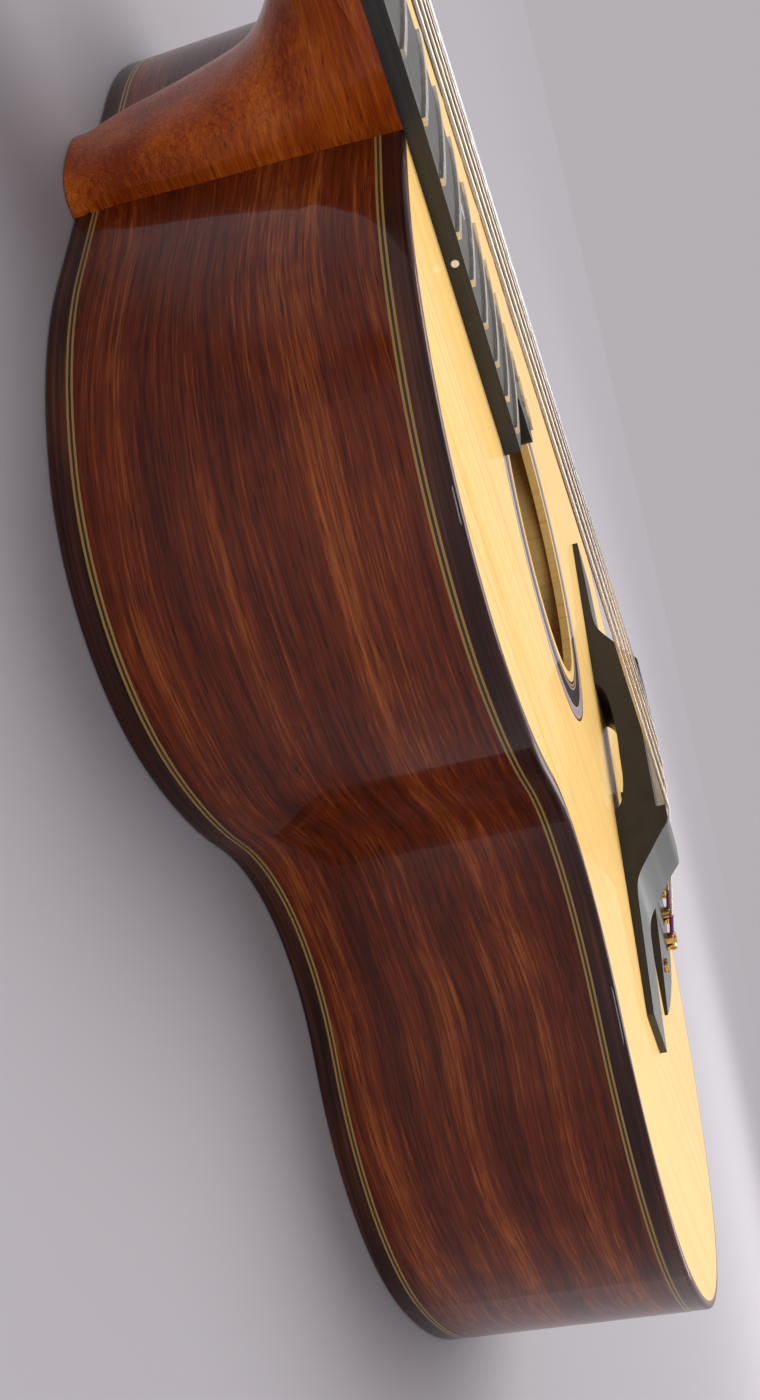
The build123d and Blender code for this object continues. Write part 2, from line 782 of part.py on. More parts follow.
def nut_point(number):
    x = across_place(number, nut_spread)
    rise = (nut_spread**2 - x**2) / (2 * fretboard_radius)
    return on_neck(x, nut_along + nut_long / 2, nut_string_height + rise + string_radii[number])


def post_of(number):
    """(side, index) of the post that holds a string; the outer strings use the nearest."""
    return (-1, number) if number < 3 else (1, 5 - number)


def post_point(number):
    side_sign, index = post_of(number)
    post_x, post_along = post_places[index]
    gap = post_radius + string_radii[number] + post_gap
    return on_head(side_sign * (post_x - gap), post_along, string_on_post)


def string_start(number):
    ball = ball_centre(number)
    return ball + (saddle_point(number) - ball).normalized() * ball_radius


def string_solid(number):
    with BuildPart() as string:
        with BuildLine() as path:
            FilletPolyline(
                string_start(number),
                saddle_point(number),
                nut_point(number),
                post_point(number),
                radius=bend_radius,
            )
        with BuildSketch(Plane(origin=path.line @ 0, z_dir=path.line % 0)):
            Circle(string_radii[number])
        sweep(path=path.line)
    return string.part


string_solids = [string_solid(number) for number in range(len(string_names))]
for name, solid in zip(string_names, string_solids):
    with BuildPart() as string:
        add(solid)
    save(string, name)

with BuildPart() as string_silks:
    for number, radius in enumerate(string_radii):
        start = string_start(number)
        run = (saddle_point(number) - start).normalized()
        with BuildSketch(Plane(origin=start + run * silk_start, z_dir=run)) as tube:
            Circle(radius + silk_thick)
            Circle(radius, mode=Mode.SUBTRACT)
        extrude(amount=silk_long)
save(string_silks, "string_silks")

with BuildPart() as ball_ends:
    for number in range(len(string_names)):
        centre = ball_centre(number)
        half_long = Vector(ball_long / 2, 0, 0)
        rod(centre - half_long, centre + half_long, ball_radius)
        rod(centre - half_long, centre + half_long, ball_radius / 2, Mode.SUBTRACT)
save(ball_ends, "ball_ends")

# ---- nut, bridge, saddle and tail plate ---------------------------------------------
with BuildPart() as nut:
    with BuildSketch(neck_frame):
        with Locations((0, nut_along + nut_long / 2)):
            Rectangle(2 * nut_half_width - 0.4, nut_long)
    extrude(amount=nut_tall)
    fillet(nut.faces().sort_by(Axis.Z)[-1].edges(), 1.0)
    for number, solid in enumerate(string_solids):
        add(solid, mode=Mode.SUBTRACT)
        slot = nut_point(number)
        with BuildSketch(Plane(origin=slot, x_dir=(1, 0, 0), z_dir=neck_up)) as opening:
            Rectangle(2 * string_radii[number], 4 * nut_long)
        extrude(amount=nut_tall, mode=Mode.SUBTRACT)
save(nut, "nut")

bridge_front = saddle_y + 12.0
front_plane = Plane(origin=(0, bridge_front, body_depth), x_dir=(-1, 0, 0), z_dir=(0, 1, 0))
with BuildPart() as bridge:
    with BuildSketch(front_plane):
        with BuildLine():
            Line((0, bridge_cheek), (40.5, bridge_cheek))
            Spline(
                (40.5, bridge_cheek),
                (44.5, bridge_cheek - 1.8),
                (53, 11.6),
                (62, 6.0),
                (76, bridge_wing + 0.5),
                tangents=((1, 0), (1, -0.02)),
            )
            Polyline(
                (76, bridge_wing + 0.5),
                (bridge_half, bridge_wing - 0.6),
                (bridge_half, 0),
                (arch_half, 0),
            )
            Spline(
                (arch_half, 0),
                (arch_half - 8, arch_tall - 1.4),
                (arch_half - 20, arch_tall - 0.2),
                (0, arch_tall),
                tangents=((-0.6, 1), (-1, 0)),
            )
            mirror(about=Plane.YZ)
        make_face()
    extrude(amount=-bridge_deep)
    with BuildSketch(Plane.XY.offset(body_depth)):
        with Locations((0, bridge_front - bridge_deep / 2)):
            Rectangle(2 * bridge_half + 2, bridge_deep)
            wing_slope = (bridge_deep - wing_end_deep) / 2
            for side_sign in (-1, 1):
                with BuildLine():
                    Polyline(
                        (side_sign * 70, bridge_deep / 2 + 1),
                        (side_sign * 70, bridge_deep / 2),
                        (side_sign * (bridge_half + 1), wing_end_deep / 2),
                        (side_sign * (bridge_half + 1), bridge_deep / 2 + 1),
                        close=True,
                    )
                make_face(mode=Mode.SUBTRACT)
                with BuildLine():
                    Polyline(
                        (side_sign * 70, -bridge_deep / 2 - 1),
                        (side_sign * 70, -bridge_deep / 2),
                        (side_sign * (bridge_half + 1), -wing_end_deep / 2),
                        (side_sign * (bridge_half + 1), -bridge_deep / 2 - 1),
                        close=True,
                    )
                make_face(mode=Mode.SUBTRACT)
    extrude(amount=40, mode=Mode.INTERSECT)
    seat_low = body_depth + bridge_seat
    block((-seat_half, seat_half), (saddle_y - 60, saddle_y + 60), (seat_low, seat_low + 40), Mode.SUBTRACT)
    saddle_y_span = (saddle_y - saddle_thick / 2, saddle_y + saddle_thick / 2)
    block((-saddle_half, saddle_half), saddle_y_span, (body_depth + slot_floor, seat_low), Mode.SUBTRACT)
save(bridge, "bridge")

with BuildPart() as saddle:
    saddle_plane = Plane(
        origin=(0, saddle_y + saddle_thick / 2, body_depth), x_dir=(-1, 0, 0), z_dir=(0, 1, 0)
    )
    with BuildSketch(saddle_plane):
        saddle_edge = saddle_string_height - 0.9
        saddle_middle = saddle_edge + saddle_half**2 / (2 * fretboard_radius)
        with BuildLine():
            ThreePointArc(
                (-saddle_half, saddle_edge), (0, saddle_middle), (saddle_half, saddle_edge)
            )
            Polyline(
                (saddle_half, saddle_edge),
                (saddle_half, slot_floor),
                (-saddle_half, slot_floor),
                (-saddle_half, saddle_edge),
            )
        make_face()
    extrude(amount=-saddle_thick)
    for solid in string_solids:
        add(solid, mode=Mode.SUBTRACT)
save(saddle, "saddle")


def pin_foot(number):
    """The point of the plate's top where a string's slotted pin stands."""
    ball = ball_centre(number)
    run = (saddle_point(number) - ball).normalized()
    return Vector(ball.X + run.X * pin_ahead, ball.Y + run.Y * pin_ahead, ball.Z - ball_radius)


up = Vector(0, 0, 1)
plate_back = anchor_y - 13.0
with BuildPart() as tail_plate:
    with BuildSketch(Plane.XY.offset(body_depth)):
        with BuildLine():
            ThreePointArc(
                (-anchor_plate_half, plate_front - 9), (0, plate_back), (anchor_plate_half, plate_front - 9)
            )
            Spline(
                (anchor_plate_half, plate_front - 9),
                (38, plate_front + 1),
                (8, plate_front + 3),
                tangents=((-1, 0.35), (-1, 0)),
            )
            Polyline(
                (8, plate_front + 3), (8, plate_front + 27), (-8, plate_front + 27), (-8, plate_front + 3)
            )
            Spline(
                (-8, plate_front + 3),
                (-38, plate_front + 1),
                (-anchor_plate_half, plate_front - 9),
                tangents=((-1, 0), (-1, -0.35)),
            )
        make_face()
    extrude(amount=anchor_plate_middle + 5)
    with BuildSketch(Plane(origin=(0, 0, body_depth), x_dir=(-1, 0, 0), z_dir=(0, 1, 0))):
        with BuildLine():
            ThreePointArc(
                (-anchor_plate_half, anchor_plate_edge),
                (0, anchor_plate_middle),
                (anchor_plate_half, anchor_plate_edge),
            )
            Polyline(
                (anchor_plate_half, anchor_plate_edge),
                (anchor_plate_half, 0),
                (-anchor_plate_half, 0),
                (-anchor_plate_half, anchor_plate_edge),
            )
        make_face()
    extrude(amount=500, both=True, mode=Mode.INTERSECT)
    for number in range(len(string_names)):
        foot = pin_foot(number)
        rod(foot - up * pin_root, foot + up * 20, pin_radius, Mode.SUBTRACT)
    for x in (-plate_screw_x, plate_screw_x):
        top = Vector(x, plate_screw_y, body_depth + plate_height(x))
        rod(top - up * 20, top, screw_radius, Mode.SUBTRACT)
        rod(top, top + up * 20, screw_head_radius, Mode.SUBTRACT)
save(tail_plate, "tail_plate")

with BuildPart() as tail_pins:
    for number, radius in enumerate(string_radii):
        foot = pin_foot(number)
        rod(foot - up * pin_root, foot + up * pin_rise, pin_radius)
        slot_low = foot.Z + ball_radius - radius - 0.1
        slot_x = (foot.X - radius - 0.25, foot.X + radius + 0.25)
        block(slot_x, (foot.Y - 5, foot.Y + 5), (slot_low, slot_low + 20), Mode.SUBTRACT)
save(tail_pins, "tail_pins")

with BuildPart() as tail_screws:
    for x in (-plate_screw_x, plate_screw_x):
        top = Vector(x, plate_screw_y, body_depth + plate_height(x))
        rod(top - up * 6.0, top, screw_radius)
        rod(top, top + up * 1.4, screw_head_radius)
        slot_y = (top.Y - 0.4, top.Y + 0.4)
        block((x - 4, x + 4), slot_y, (top.Z + 0.7, top.Z + 3), Mode.SUBTRACT)
save(tail_screws, "tail_screws")

end_pin_profile = ((0, 18), (3.4, 18), (end_pin_radius, 4), (end_pin_radius, 0), (7, 0), (7, -2),
                   (4.6, -3), (4.2, -8), (6.6, -10), (7, -11.5), (6.4, -13), (0, -13.6))
with BuildPart() as end_pin:
    with BuildSketch(Plane(origin=(0, tail_y, body_depth / 2), x_dir=(1, 0, 0), z_dir=(0, 0, 1))):
        with BuildLine():
            Polyline(*end_pin_profile, close=True)
        make_face()
    revolve(axis=Axis((0, tail_y, body_depth / 2), (0, 1, 0)))
save(end_pin, "end_pin")

# ---- tuning machines ----------------------------------------------------------------
bore_radius = post_radius + run_clearance
washer_top = headplate_thick + 0.8
hex_top = washer_top + 3.0
housing_low = -head_thick - housing_tall
worm_up = -head_thick - worm_below


def head_box(x, along, up_span, mode=Mode.ADD):
    """A box in the headstock's frame, given by its (low, high) along each axis."""
    with BuildSketch(head_frame.offset(up_span[0])) as area:
        with Locations(((x[0] + x[1]) / 2, (along[0] + along[1]) / 2)):
            Rectangle(abs(x[1] - x[0]), along[1] - along[0])
    extrude(area.sketch, amount=up_span[1] - up_span[0], mode=mode)


def head_rod(x, along, up_span, radius, mode=Mode.ADD):
    rod(on_head(x, along, up_span[0]), on_head(x, along, up_span[1]), radius, mode)


tuner_places = []
for number in range(len(string_names)):
    side_sign, index = post_of(number)
    tuner_places.append((side_sign, side_sign * post_places[index][0], post_places[index][1]))

with BuildPart() as tuner_housings:
    for side_sign, x, along in tuner_places:
        head_box((x - housing_half, x + housing_half), (along - 9, along + 13.5), (housing_low, -head_thick))
        inner = housing_half - housing_wall
        cavity_up = (housing_low + housing_wall, -head_thick)
        head_box((x - inner, x + inner), (along - 7.8, along + 12.3), cavity_up, Mode.SUBTRACT)
        tab = (along - 9 - tab_long, along - 9)
        head_box((x - 4, x + 4), tab, (-head_thick - tab_thick, -head_thick))
        screw_along = along - tuner_screw_behind
        head_rod(x, screw_along, (-head_thick - 3, -head_thick + 1), tuner_screw_radius, Mode.SUBTRACT)
        worm_along = along + worm_offset
        outer_end = on_head(x + side_sign * 12, worm_along, worm_up)
        rod(on_head(x, worm_along, worm_up), outer_end, key_shaft_radius + run_clearance, Mode.SUBTRACT)
        inner_end = on_head(x - side_sign * 12, worm_along, worm_up)
        rod(on_head(x, worm_along, worm_up), inner_end, key_journal_radius + run_clearance, Mode.SUBTRACT)
save(tuner_housings, "tuner_housings")

with BuildPart() as tuner_screws:
    for side_sign, x, along in tuner_places:
        screw_along = along - tuner_screw_behind
        head_low = -head_thick - tab_thick
        head_rod(x, screw_along, (head_low, -head_thick + tuner_screw_deep), tuner_screw_radius)
        head_rod(x, screw_along, (head_low - 1.5, head_low), 2.6)
        cross_up = (head_low - 1.6, head_low - 0.9)
        long_cut = (screw_along - 1.6, screw_along + 1.6)
        thin_cut = (screw_along - 0.35, screw_along + 0.35)
        head_box((x - 1.6, x + 1.6), thin_cut, cross_up, Mode.SUBTRACT)
        head_box((x - 0.35, x + 0.35), long_cut, cross_up, Mode.SUBTRACT)
save(tuner_screws, "tuner_screws")

with BuildPart() as tuner_washers:
    for side_sign, x, along in tuner_places:
        head_rod(x, along, (headplate_thick, washer_top), 7.6)
        head_rod(x, along, (headplate_thick - 1, washer_top + 1), bushing_radius, Mode.SUBTRACT)
save(tuner_washers, "tuner_washers")

with BuildPart() as tuner_bushings:
    for side_sign, x, along in tuner_places:
        head_rod(x, along, (-10, washer_top), bushing_radius)
        with BuildSketch(head_frame.offset(washer_top)):
            with Locations((x, along)):
                RegularPolygon(6.8, 6)
        extrude(amount=hex_top - washer_top)
        head_rod(x, along, (-12, hex_top + 1), bore_radius, Mode.SUBTRACT)
save(tuner_bushings, "tuner_bushings")


def key_point(place, out):
    """A point on a key's axis, measured outwards from its post."""
    side_sign, x, along = place
    return on_head(x + side_sign * out, along + worm_offset, worm_up)


def button_solid(axis_point, side_sign):
    """A key's oval button, beyond the edge of the headstock."""
    low_plane = Plane(
        origin=axis_point - head_up * button_half_thick, x_dir=(1, 0, 0), z_dir=head_up
    )
    with BuildPart() as button:
        with BuildSketch(low_plane):
            with Locations((side_sign * button_out, 0)):
                Ellipse(7.8, 9.4)
        extrude(amount=2 * button_half_thick)
        broad_faces = button.faces().sort_by(Axis((0, 0, 0), head_up))
        fillet(broad_faces[0].edges() + broad_faces[-1].edges(), 1.8)
    return button.part


gear_span = (worm_up - 2, worm_up + 2)
for number, (side_sign, x, along) in enumerate(tuner_places):
    with BuildPart() as post:
        head_rod(x, along, (housing_low + housing_wall + 0.3, post_top), post_radius)
        head_rod(x, along, gear_span, gear_radius)
        for tooth in range(gear_teeth):
            turn = radians(360 / gear_teeth * (tooth + 0.5))
            tooth_x = x + gear_radius * cos(turn)
            tooth_along = along + gear_radius * sin(turn)
            head_rod(tooth_x, tooth_along, (worm_up - 3, worm_up + 3), 0.7, Mode.SUBTRACT)
        hole_start = on_head(x - 5, along, string_on_post + 3)
        rod(hole_start, on_head(x + 5, along, string_on_post + 3), 0.9, Mode.SUBTRACT)
    save(post, f"tuner_post_{number + 1}")

    place = (side_sign, x, along)
    with BuildPart() as key:
        rod(key_point(place, -housing_half), key_point(place, -7.4), key_journal_radius)
        rod(key_point(place, -7.4), key_point(place, 7.2), worm_radius - 0.6)
        for thread in range(7):
            start = -7.0 + 2.0 * thread
            rod(key_point(place, start), key_point(place, start + 1.0), worm_radius)
        rod(key_point(place, 7.2), key_point(place, 20), key_shaft_radius)
        rod(key_point(place, button_out - 8.6), key_point(place, button_out - 4), button_half_thick - 0.3)
        rod(key_point(place, housing_half + 0.3), key_point(place, housing_half + 2.2), 3.4)
        add(button_solid(key_point(place, 0), side_sign))
    save(key, f"tuner_key_{number + 1}")
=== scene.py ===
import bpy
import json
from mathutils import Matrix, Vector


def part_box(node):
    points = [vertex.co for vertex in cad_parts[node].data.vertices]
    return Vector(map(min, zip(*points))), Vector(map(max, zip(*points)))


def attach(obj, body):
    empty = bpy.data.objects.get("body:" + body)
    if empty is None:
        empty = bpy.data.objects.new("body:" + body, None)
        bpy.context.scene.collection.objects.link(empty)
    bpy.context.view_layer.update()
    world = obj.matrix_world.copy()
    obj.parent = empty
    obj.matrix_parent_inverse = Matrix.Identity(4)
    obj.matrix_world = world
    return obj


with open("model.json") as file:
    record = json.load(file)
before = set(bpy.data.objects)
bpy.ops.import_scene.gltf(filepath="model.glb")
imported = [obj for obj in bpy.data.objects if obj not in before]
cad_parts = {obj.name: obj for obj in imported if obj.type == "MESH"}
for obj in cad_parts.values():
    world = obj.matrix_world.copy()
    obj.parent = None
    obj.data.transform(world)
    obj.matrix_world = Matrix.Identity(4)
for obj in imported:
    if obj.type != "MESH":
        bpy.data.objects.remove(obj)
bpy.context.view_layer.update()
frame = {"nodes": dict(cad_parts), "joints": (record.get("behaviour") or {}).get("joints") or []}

import json
from math import cos, pi, radians, sin

import bpy
from mathutils import Matrix, Vector

# Everything is in metres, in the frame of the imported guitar: X to the treble side, Y to the
# headstock, Z out of the soundboard. The guitar lies on its back on the floor.

nodes = frame["nodes"]
joints = {joint["name"]: joint for joint in frame["joints"]}
string_names = [f"string_{number}" for number in range(1, 7)]
wound_strings = string_names[:4]
plain_strings = string_names[4:]

# ---- camera -------------------------------------------------------------------------
camera_place = Vector((-0.3586, 0.3913, 0.1283))
looked_at = Vector((-0.0211, 0.0384, 0.0206))
picture_up = Vector((0.7378, 0.6405, 0.2130))
film_tall = 24.0
lens_length = 23.94


def add_camera():
    data = bpy.data.cameras.new("camera")
    data.sensor_fit = "VERTICAL"
    data.sensor_height = film_tall
    data.lens = lens_length
    data.clip_start = 0.01
    camera = bpy.data.objects.new("camera", data)
    bpy.context.scene.collection.objects.link(camera)
    back = (camera_place - looked_at).normalized()
    right = picture_up.cross(back).normalized()
    up = back.cross(right)
    turn = Matrix((right, up, back)).transposed().to_4x4()
    camera.matrix_world = Matrix.Translation(camera_place) @ turn
    bpy.context.scene.camera = camera


# ---- studio -------------------------------------------------------------------------
floor_half = 12.0
floor_colour = (0.31, 0.292, 0.312, 1)
sky_colour = (0.462, 0.432, 0.457, 1)
sun_towards = Vector((0.5, -0.3, 1.0))
sun_width = radians(50)
sun_power = 2.9
# name, place, the point it faces, size, power
softboxes = (
    ("side_softbox", (-1.5, 1.3, 1.1), (0, 0.1, 0.05), (0.5, 1.1), 12),
    ("backdrop_softbox", (0.6, -2.8, 1.3), (0.6, -2.8, 0), (2.0, 2.0), 30),
)


def add_softbox(name, place, aim, size, power):
    data = bpy.data.lights.new(name, "AREA")
    data.shape = "RECTANGLE"
    data.size, data.size_y = size
    data.energy = power
    lamp = bpy.data.objects.new(name, data)
    bpy.context.scene.collection.objects.link(lamp)
    lamp.location = place
    lamp.rotation_euler = (Vector(aim) - Vector(place)).to_track_quat("-Z", "Y").to_euler()


def add_wide_sun():
    """A very wide soft light from above, which lights the whole floor evenly."""
    data = bpy.data.lights.new("wide_sun", "SUN")
    data.angle = sun_width
    data.energy = sun_power
    lamp = bpy.data.objects.new("wide_sun", data)
    bpy.context.scene.collection.objects.link(lamp)
    lamp.rotation_euler = sun_towards.to_track_quat("Z", "Y").to_euler()


def add_studio():
    world = bpy.data.worlds.new("studio")
    bpy.context.scene.world = world
    world.use_nodes = True
    sky = world.node_tree.nodes["Background"]
    sky.inputs["Color"].default_value = sky_colour
    sky.inputs["Strength"].default_value = 1.0
    bpy.context.scene.view_settings.view_transform = "Standard"
    mesh = bpy.data.meshes.new("floor")
    corners = [(-floor_half, -floor_half, 0), (floor_half, -floor_half, 0)]
    corners += [(floor_half, floor_half, 0), (-floor_half, floor_half, 0)]
    mesh.from_pydata(corners, [], [(0, 1, 2, 3)])
    floor = bpy.data.objects.new("floor", mesh)
    bpy.context.scene.collection.objects.link(floor)
    look = Look("floor")
    look.finish(colour=floor_colour, Roughness=0.8)
    mesh.materials.append(look.material)
    add_wide_sun()
    for softbox in softboxes:
        add_softbox(*softbox)


# ---- node materials -----------------------------------------------------------------
# Colours of each mahogany, from its darkest figure to its palest.
red_mahogany = ((0.050, 0.006, 0.001), (0.135, 0.020, 0.003), (0.36, 0.095, 0.014))
orange_mahogany = ((0.20, 0.026, 0.002), (0.36, 0.066, 0.004), (0.56, 0.15, 0.012))
yellow_veneer = (0.34, 0.21, 0.06)
black_veneer = (0.012, 0.010, 0.008)
red_veneer = (0.22, 0.045, 0.02)
binding_tall = 0.0056
line_tall = 0.0018
chip_inner = 0.0616
chip_outer = 0.0646


class Look:
    """A node material. Its coordinates are the guitar's own metres."""

    def __init__(self, name):
        self.material = bpy.data.materials.new(name)
        self.material.use_nodes = True
        self.tree = self.material.node_tree
        self.tree.nodes.clear()
        self.place = self.add("TexCoord").outputs["Object"]
        self.x, self.y, self.z = self.add("SeparateXYZ", self.place).outputs

    def add(self, kind, *fed, **settings):
        node = self.tree.nodes.new("ShaderNode" + kind)
        for key, value in settings.items():
            setattr(node, key, value)
        for socket, value in zip(node.inputs, fed):
            self.feed(socket, value)
        return node

    def feed(self, socket, value):
        if isinstance(value, bpy.types.NodeSocket):
            self.tree.links.new(value, socket)
        elif value is not None:
            socket.default_value = value

    def math(self, operation, first, second=None):
        return self.add("Math", first, second, operation=operation).outputs[0]

    def point(self, x, y, z):
        return self.add("CombineXYZ", x, y, z).outputs[0]

    def stretched(self, per_metre, place=None):
        """Coordinates scaled along each axis, so that a pattern runs along the smallest."""
        return self.add("VectorMath", place or self.place, per_metre, operation="MULTIPLY").outputs[0]

    def noise(self, place, detail=2.0, roughness=0.5, distortion=0.0):
        node = self.add("TexNoise")
        self.feed(node.inputs["Vector"], place)
        node.inputs["Scale"].default_value = 1.0
        node.inputs["Detail"].default_value = detail
        node.inputs["Roughness"].default_value = roughness
        node.inputs["Distortion"].default_value = distortion
        return node.outputs[0]

    def step(self, value, low, high, to_low=0.0, to_high=1.0):
        node = self.add("MapRange", value, low, high, to_low, to_high, interpolation_type="SMOOTHSTEP")
        return node.outputs[0]

    def ramp(self, value, *stops):
        node = self.add("ValToRGB", value)
        elements = node.color_ramp.elements
        while len(elements) < len(stops):
            elements.new(0.5)
        for element, (position, colour) in zip(elements, stops):
            element.position = position
            element.color = (*colour, 1)
        return node.outputs[0]

    def mix(self, factor, first, second, blend="MIX"):
        node = self.add("Mix", data_type="RGBA", blend_type=blend)
        self.feed(node.inputs[0], factor)
        self.feed(node.inputs[6], full(first))
        self.feed(node.inputs[7], full(second))
        return node.outputs[2]

    def bump(self, height, distance, strength=1.0, normal=None):
        node = self.add("Bump")
        node.inputs["Strength"].default_value = strength
        node.inputs["Distance"].default_value = distance
        self.feed(node.inputs["Height"], height)
        self.feed(node.inputs["Normal"], normal)
        return node.outputs[0]

    def finish(self, colour, normal=None, coat_normal=None, **settings):
        shader = self.add("BsdfPrincipled")
        self.feed(shader.inputs["Base Color"], full(colour))
        self.feed(shader.inputs["Normal"], normal)
        self.feed(shader.inputs["Coat Normal"], coat_normal)
        for key, value in settings.items():
            self.feed(shader.inputs[key.replace("_", " ")], value)
        output = self.add("OutputMaterial")
        self.tree.links.new(shader.outputs[0], output.inputs["Surface"])
        return self.material


def full(colour):
    """A colour with its alpha; sockets pass through."""
    return (*colour, 1) if isinstance(colour, tuple) and len(colour) == 3 else colour


def lacquered(look, colour, normal, roughness=0.42, gloss=0.55):
    """A gloss finish: a smooth clear coat with a trace of unevenness over the wood."""
    swell = look.noise(look.stretched((60, 60, 60)), detail=1)
    coat = look.bump(swell, 0.00004)
    return look.finish(colour, normal, coat, Roughness=roughness, Specular_IOR_Level=0.05, Coat_Weight=gloss,
                       Coat_Roughness=0.025)


def mahogany(name, colours, along, across):
    """Mahogany with ribbons, fine streaks, ripple and pores. along and across say how many
    times per metre its figure changes on each axis: low along the grain, high across it."""
    deep, middle, pale = colours
    look = Look(name)
    wander = look.noise(look.stretched((5, 5, 5)), detail=2)
    shift = look.math("MULTIPLY", look.math("SUBTRACT", wander, 0.5), 0.03)
    bent = look.add("VectorMath", look.place, look.point(shift, 0.0, shift), operation="ADD").outputs[0]

    def grain(lengthwise, crosswise, detail, roughness=0.5):
        per_metre = tuple(lengthwise * a + crosswise * c for a, c in zip(along, across))
        return look.noise(look.stretched(per_metre, bent), detail, roughness)

    ribbon = grain(2, 55, 2)
    streak = grain(12, 640, 6, 0.7)
    fleck = grain(70, 1900, 3, 0.6)
    pore = look.step(grain(95, 2300, 2), 0.6, 0.72)
    ripple = look.noise(look.stretched((34, 34, 20), bent), detail=3, roughness=0.6)
    tone = look.math("ADD", look.math("MULTIPLY", ribbon, 0.34), look.math("MULTIPLY", streak, 0.32))
    tone = look.math("ADD", tone, look.math("MULTIPLY", ripple, 0.10))
    tone = look.math("ADD", tone, look.math("MULTIPLY", fleck, 0.24))
    colour = look.ramp(tone, (0.42, deep), (0.51, middle), (0.62, pale))
    dark = tuple(value * 0.3 for value in deep)
    colour = look.mix(look.math("MULTIPLY", pore, 0.75), colour, dark)
    return lacquered(look, colour, look.bump(streak, 0.00003))


def rosewood(name):
    look = Look(name)
    streak = look.noise(look.stretched((14, 14, 900)), detail=5, roughness=0.6)
    along = look.noise(look.stretched((26, 8, 40)), detail=3)
    tone = look.math("ADD", look.math("MULTIPLY", streak, 0.6), look.math("MULTIPLY", along, 0.4))
    colour = look.ramp(tone, (0.36, (0.010, 0.004, 0.003)), (0.52, (0.040, 0.012, 0.007)),
                       (0.68, (0.12, 0.035, 0.017)))
    return lacquered(look, colour, look.bump(streak, 0.00002))


def spruce(name, warm=1.0, glossy=True):
    """Bookmatched spruce: fine grain lines along Y, mirrored on the centre seam."""
    look = Look(name)
    half = look.math("ABSOLUTE", look.x)
    sway = look.noise(look.stretched((4, 2.5, 1)), detail=2)
    across = look.math("ADD", half, look.math("MULTIPLY", sway, 0.009))
    fine_place = look.point(look.math("MULTIPLY", across, 700), look.math("MULTIPLY", look.y, 1.5), 0.0)
    wide_place = look.point(look.math("MULTIPLY", across, 70), look.math("MULTIPLY", look.y, 0.8), 3.0)
    rings = look.noise(fine_place, 3)
    wide = look.noise(wide_place, 2)
    silk = look.step(look.noise(look.stretched((110, 900, 40)), detail=2), 0.56, 0.78)
    tone = look.math("ADD", look.math("MULTIPLY", rings, 0.7), look.math("MULTIPLY", wide, 0.3))
    late, early = (0.76, 0.43, 0.11), (0.95, 0.62, 0.19)
    colour = look.ramp(tone, (0.36, tuple(warm * v for v in late)), (0.5, tuple(warm * v for v in early)))
    colour = look.mix(look.math("MULTIPLY", silk, 0.25), colour, (0.93, 0.72, 0.34))
    normal = look.bump(rings, 0.00003)
    if glossy:
        return lacquered(look, colour, normal, gloss=0.3)
    return look.finish(colour, normal, Roughness=0.62)


def ebony(name, sheen_rough=0.34, pale=0.035):
    look = Look(name)
    streak = look.noise(look.stretched((900, 12, 900)), detail=5, roughness=0.65)
    bands = look.noise(look.stretched((70, 3, 70)), detail=3)
    tone = look.math("ADD", look.math("MULTIPLY", streak, 0.5), look.math("MULTIPLY", bands, 0.5))
    grey = (pale, pale * 0.98, pale * 0.85)
    colour = look.ramp(tone, (0.4, (0.008, 0.008, 0.007)), (0.7, grey))
    rubbed = look.step(bands, 0.3, 0.7, sheen_rough - 0.05, sheen_rough + 0.07)
    return look.finish(colour, look.bump(streak, 0.00003), Roughness=rubbed, Specular_IOR_Level=0.5)


def metal(name, colour, worn, low_rough, high_rough, lines=(60, 60, 60), line_deep=0.0):
    """A metal with small changes of tone and polish, and optionally fine lines."""
    look = Look(name)
    cloud = look.noise(look.stretched((180, 180, 180)), detail=4, roughness=0.6)
    fine = look.noise(look.stretched(lines), detail=3)
    tint = look.mix(look.step(cloud, 0.35, 0.7), colour, worn)
    both = look.math("MULTIPLY", look.math("ADD", cloud, fine), 0.5)
    rough = look.step(both, 0.35, 0.65, low_rough, high_rough)
    return look.finish(tint, look.bump(fine, line_deep), Metallic=1.0, Roughness=rough)


def wound(name, colour, groove_shade, pitch, metallic, rough):
    """Wire or thread wound closely round a core that runs along Y. Its colour is painted darker in the
    grooves between the turns, as painted shade.
    """
    look = Look(name)
    turn = look.math("SINE", look.math("MULTIPLY", look.y, 2 * pi / pitch))
    round_top = look.step(turn, -1.0, 0.6)
    cloud = look.noise(look.stretched((300, 60, 300)), detail=3)
    # The wire's own colour, varied at random towards the painted groove shade.
    bright = look.mix(look.math("MULTIPLY", cloud, 0.3), colour, groove_shade)
    # Painted shade: the grooves between turns take the dark colour, and the tops of the turns take the
    # wire's own colour.
    tint = look.mix(round_top, groove_shade, bright)
    return look.finish(tint, look.bump(round_top, pitch * 0.3), Metallic=metallic, Roughness=rough)


def bone(name):
    look = Look(name)
    fibre = look.noise(look.stretched((40, 900, 900)), detail=3)
    cloud = look.noise(look.stretched((200, 200, 200)), detail=2)
    tone = look.math("MULTIPLY", look.math("ADD", fibre, cloud), 0.5)
    colour = look.ramp(tone, (0.35, (0.70, 0.60, 0.42)), (0.6, (0.86, 0.80, 0.66)))
    return look.finish(colour, look.bump(fibre, 0.00001), Roughness=0.28, Subsurface_Weight=0.15,
                       Subsurface_Scale=0.002)


def pearl(name):
    look = Look(name)
    layers = look.noise(look.stretched((700, 700, 900)), detail=4, roughness=0.7, distortion=1.5)
    colour = look.ramp(layers, (0.3, (0.62, 0.70, 0.72)), (0.5, (0.90, 0.89, 0.84)),
                       (0.7, (0.85, 0.72, 0.76)))
    return look.finish(colour, look.bump(layers, 0.00001), Roughness=0.18, Coat_Weight=0.8,
                       Coat_Roughness=0.05)


